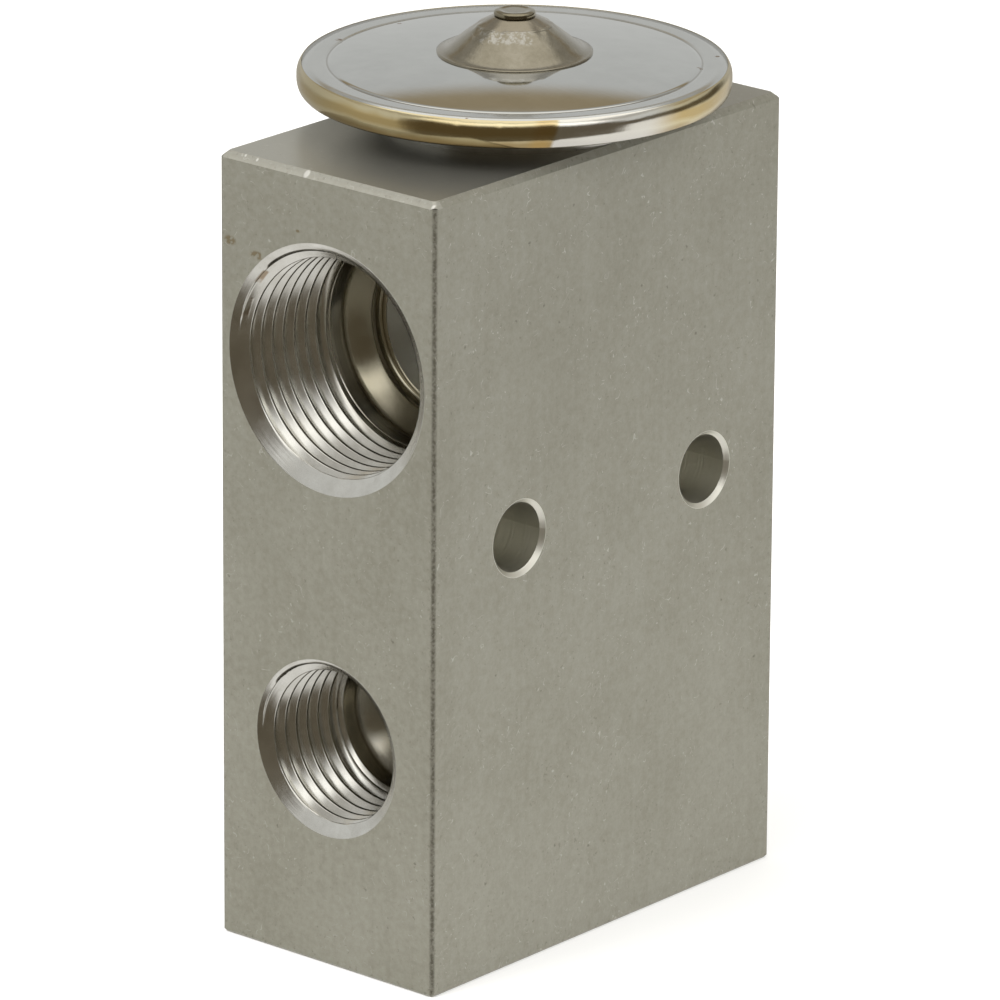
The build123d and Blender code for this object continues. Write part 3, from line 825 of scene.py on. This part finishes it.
def rimWeld():
    # Closed section, an arc above, a short side and an arc underneath, carried round the rim; its bulge
    # swells slowly, is higher on the overlap and dips at the nicks.
    size = {key: value * mm for key, value in weldSizes.items()}
    low, high = weldLow.z, weldHigh.z
    reach = size["bulge"] - size["start"]
    upperR = (reach ** 2 + size["over"] ** 2) / (2 * reach)
    upperTurn = math.atan2(size["over"], upperR - reach)
    lowerR = (size["bulge"] ** 2 + size["under"] ** 2) / (2 * size["bulge"])
    s = np.linspace(0, 1, 9)[:, None]
    arch = (1 - s) * upperTurn
    lowerTurn = math.atan2(size["under"], lowerR - size["bulge"])
    drooping = s * lowerTurn
    upper = np.hstack([size["bulge"] - upperR * (1 - np.cos(arch)),
                       high - size["over"] + upperR * np.sin(arch)])
    lower = np.hstack([size["bulge"] - lowerR * (1 - np.cos(drooping)),
                       low + size["under"] - lowerR * np.sin(drooping)])
    side = upper[-1] + (lower[0] - upper[-1]) * np.linspace(0.15, 0.85, 6)[:, None]
    section = np.vstack([[(0.02 * mm, high)], upper, side, lower])
    t = np.linspace(-math.pi, math.pi, weldColumns + 1)
    t[-1] = t[0]
    share = section[:, :1] / size["bulge"]
    drop = (high - section[:, 1:]) / (high - low)
    slow = size["slow"] * (np.sin(5 * t + 1.1) + 0.7 * np.sin(11 * t) + 0.4 * np.sin(23 * t + 2) - 1.3)
    since = t - weldTint["start"] - weldTint["slant"] * (1 - drop)
    swells = weldSwells
    lapped = 1 / (1 + np.exp(-since / swells["lapEase"])) / \
        (1 + np.exp((since - weldTint["overlap"]) / swells["lapFade"]))
    nicks = sum(np.exp(-((t - place) / swells["nickWide"]) ** 2) for place in swells["nicks"]) * \
        np.exp(-((drop - swells["nickDrop"]) / swells["nickTall"]) ** 2)
    swell = slow + (lapped - 1) * size["overlapHeight"] - nicks * size["nick"]
    outer = size["inner"] + section[:, :1] + share * swell
    inner = np.full_like(outer[:1], size["inner"] + 0.005 * mm)
    radii = np.vstack([outer, inner, inner])
    heights = np.vstack([section[:, 1:] + 0 * t, np.full_like(inner, low + 0.01 * mm),
                         np.full_like(inner, high - 0.01 * mm)])
    spots = np.stack([radii * np.cos(t), axisY + radii * np.sin(t), heights], -1)
    bead = sewGrid("rimWeld", spots[::-1], loop=True)
    bead.data.materials.append(weldMaterial())
    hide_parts("rim_weld")
    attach(bead, valveBody)
    return bead


for name, size in portSizes.items():
    portLining(name, size)
print("port linings made")
topCover()
chargePlug()
rimWeld()
print("head made")


def coilSpring(material):
    # A copy of the imported coil with the given finish, shown in place of the imported one.
    coil = bpy.data.objects.new("coilSpring", nodes["valve_spring"].data.copy())
    coil.data.materials.clear()
    coil.data.materials.append(material)
    bpy.context.scene.collection.objects.link(coil)
    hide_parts("valve_spring")
    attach(coil, valveBody)
    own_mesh(coil)
    return coil


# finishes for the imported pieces
def dress(node, material):
    nodes[node].data.materials.clear()
    nodes[node].data.materials.append(material)


metalPieces = {
    "turnedSteel": {"nodes": ("head_lower_cover", "ball_carrier"), "colour": (0.60, 0.59, 0.56),
                    "roughness": 0.30},
    "springSheet": {"nodes": ("diaphragm",), "colour": (0.70, 0.70, 0.69), "roughness": 0.22,
                    "turnedScale": 900.0, "strength": 0.04},
    "turnedBrass": {"nodes": ("diaphragm_pad",), "colour": (0.72, 0.56, 0.27), "roughness": 0.30},
    "turnedRod": {"nodes": ("sensing_rod",), "colour": (0.76, 0.76, 0.75), "roughness": 0.30},
    "groundPin": {"nodes": ("push_pin",), "colour": (0.68, 0.68, 0.68), "roughness": 0.20,
                  "turnedScale": 6000.0, "strength": 0.04},
    "polishedBall": {"nodes": ("valve_ball",), "colour": (0.78, 0.78, 0.78), "roughness": 0.14,
                     "turnedScale": 6000.0, "strength": 0.02},
    "drawnWire": {"nodes": ("damper_spring", "rod_seal_retainer"), "colour": (0.42, 0.42, 0.42),
                  "roughness": 0.34, "turnedScale": 1500.0, "strength": 0.05},
    "screwBrass": {"nodes": ("adjusting_screw",), "colour": (0.70, 0.54, 0.25), "roughness": 0.32},
}
dress("valve_block", blockMaterial())
metals = {}
for name, look in metalPieces.items():
    metals[name] = plainMetal(name, **{key: value for key, value in look.items() if key != "nodes"})
    for node in look["nodes"]:
        dress(node, metals[name])
coilSpring(metals["drawnWire"])
rubber = rubberMaterial()
for node in ("head_seal", "rod_seal", "screw_seal"):
    dress(node, rubber)
print("finishes set")


# stage, light and camera
studio = {
    "floor": (0.80, 0.80, 0.80),
    "floorGlow": 0.25,
    "forward": (0.650, -0.760),      # level direction towards the front of the room, x and y
    "table": (0.80, 0.79, 0.76),
    "lowWall": (0.50, 0.49, 0.45),
    "lowRight": (0.88, 0.87, 0.83),
    "wall": (0.625, 0.63, 0.615),
    "highWall": (0.46, 0.45, 0.42),
    "strip": (0.37, 0.30, 0.19),
    "overhead": (1.20, 1.18, 1.12),
    "dark": (0.115, 0.098, 0.070),
    "boxLow": (0.60, 0.60, 0.585),
    "box": (1.55, 1.54, 1.48),
    # the colours above from straight down, 0, to straight up, 1
    "stops": [(0.225, "table"), (0.262, "lowWall"), (0.45, "lowWall"), (0.52, "wall"), (0.755, "wall"),
              (0.80, "highWall"), (0.86, "highWall"), (0.90, "overhead")],
    "parts": {                       # where each part of the room starts and ends, along a unit direction
        "rightSide": (0.30, 0.55),
        "rightTop": (-0.12, -0.04, 1.0, 0.0),
        "darkSide": (0.55, 0.70),
        "darkSideHeights": (-0.03, 0.26, 0.04),
        "stripHeights": (0.44, 0.53, 0.03),
        "stripBehind": (-0.3, 0.0, 1.0, 0.0),
        "front": (0.40, 0.56),
        "darkLean": 0.32,
        "darkFoot": (-0.65, -0.57),
        "darkTop": (0.39, 0.44, 1.0, 0.0),
        "boxHeights": (0.43, 0.72, 0.03),
        "boxShade": (0.49, 0.55),
    },
    "lamps": {                       # metres and watts
        "key": {"place": (-0.35, -0.75, 0.75), "target": (0, 0, 0.045), "size": (0.6, 0.6), "power": 8.4},
        "fill": {"place": (0.85, -0.10, 0.55), "target": (0, 0, 0.045), "size": (0.6, 0.6), "power": 6.2},
    },
}


def makeFloor():
    # A wide plane; camera rays get a little glow on top of its lit grey, so it reads as white round the shadow.
    half, drop = 3.0, np.array((0, 0, 0.02 * mm))
    corners = np.array([(-half, -half, 0), (half, -half, 0), (half, half, 0), (-half, half, 0)], float)
    floor = meshFrom("floor", corners - drop, np.array([[0, 1, 2, 3]]), np.empty((0, 3), int))
    material, shader, place = startMaterial("paleFloor", Base_Color=studio["floor"], Roughness=0.9,
                                            Specular_IOR_Level=0.1, Emission_Strength=1.0)
    rays = place.node("ShaderNodeLightPath", {}, {}, "Is Camera Ray")
    feed(shader, Emission_Color=rays.blend((0, 0, 0), (studio["floorGlow"],) * 3))
    floor.data.materials.append(material)
    floor.visible_glossy = False      # metal shows the room painted in the world instead


def makeWorld():
    # The room by direction: pale table below, walls at the sides and behind with a brown strip, a dark front
    # with a long soft box above it, and a bright ceiling. Camera rays see plain white.
    values, parts = studio, studio["parts"]
    world = bpy.data.worlds.new("studio")
    bpy.context.scene.world = world
    world.use_nodes = True
    tree = world.node_tree
    way = Wire(tree).node("ShaderNodeTexCoord", {}, {}, "Generated")
    x, y, z = way.parts()
    forward = x * values["forward"][0] + y * values["forward"][1]
    side = y * values["forward"][0] - x * values["forward"][1]
    room = (z * 0.5 + 0.5).tinted([(place, values[wall]) for place, wall in values["stops"]])
    room = (side.ramp(*parts["rightSide"]) * z.ramp(*parts["rightTop"])).blend(room, values["lowRight"])
    room = (side.ramp(*parts["darkSide"]) * z.within(*parts["darkSideHeights"])).blend(room, values["dark"])
    room = (z.within(*parts["stripHeights"]) * forward.ramp(*parts["stripBehind"])).blend(room, values["strip"])
    inFront = forward.ramp(*parts["front"])
    darkBand = (z - side * parts["darkLean"]).ramp(*parts["darkFoot"]) * z.ramp(*parts["darkTop"])
    room = (inFront * darkBand).blend(room, values["dark"])
    box = z.ramp(*parts["boxShade"]).blend(values["boxLow"], values["box"])
    room = (inFront * z.within(*parts["boxHeights"])).blend(room, box)
    rays = way.node("ShaderNodeLightPath", {}, {}, "Is Camera Ray")
    background = tree.nodes["Background"]
    tree.links.new(rays.blend(room, (1, 1, 1)).socket, background.inputs["Color"])


def softBox(name, place, target, size, power):
    # An area lamp that lights without showing in the metal.
    light = bpy.data.lights.new(name, "AREA")
    light.shape = "RECTANGLE"
    light.size, light.size_y = size
    light.energy = power
    lamp = bpy.data.objects.new(name, light)
    lamp.location = place
    lamp.rotation_euler = (Vector(target) - Vector(place)).to_track_quat("-Z", "Y").to_euler()
    lamp.visible_glossy = False
    bpy.context.scene.collection.objects.link(lamp)


view = {"azimuth": 40.5504, "elevation": 18.6035, "roll": 0.3692, "distance": 10.97466, "focal": 8948.65,
        "right": -0.0013828, "up": 0.0148692, "sensor": 36.0, "frame": 1000}


def makeCamera():
    # Looks at the middle of the block from the given angles; distance and shifts are in block heights.
    azimuth, elevation, roll = (math.radians(view[key]) for key in ("azimuth", "elevation", "roll"))
    level = math.cos(elevation)
    back = Vector((math.sin(azimuth) * level, -math.cos(azimuth) * level, math.sin(elevation)))
    right = (-back).cross(Vector((0, 0, 1))).normalized()
    up = right.cross(-back)
    right, up = right * math.cos(roll) + up * math.sin(roll), up * math.cos(roll) - right * math.sin(roll)
    target = Vector((0, 0, blockTop / 2))
    place = target + (back * view["distance"] + right * view["right"] + up * view["up"]) * blockTop
    camera = bpy.data.cameras.new("camera")
    camera.sensor_width = view["sensor"]
    camera.lens = view["focal"] * view["sensor"] / view["frame"]
    camera.clip_start = 0.01
    camera.clip_end = 20
    seen = bpy.data.objects.new("camera", camera)
    seen.matrix_world = Matrix.Translation(place) @ Matrix((right, up, back)).transposed().to_4x4()
    bpy.context.scene.collection.objects.link(seen)
    bpy.context.scene.camera = seen


makeFloor()
makeWorld()
for name, lamp in studio["lamps"].items():
    softBox(name, **lamp)
makeCamera()
bpy.context.scene.view_settings.view_transform = "Standard"
print("stage and camera made")
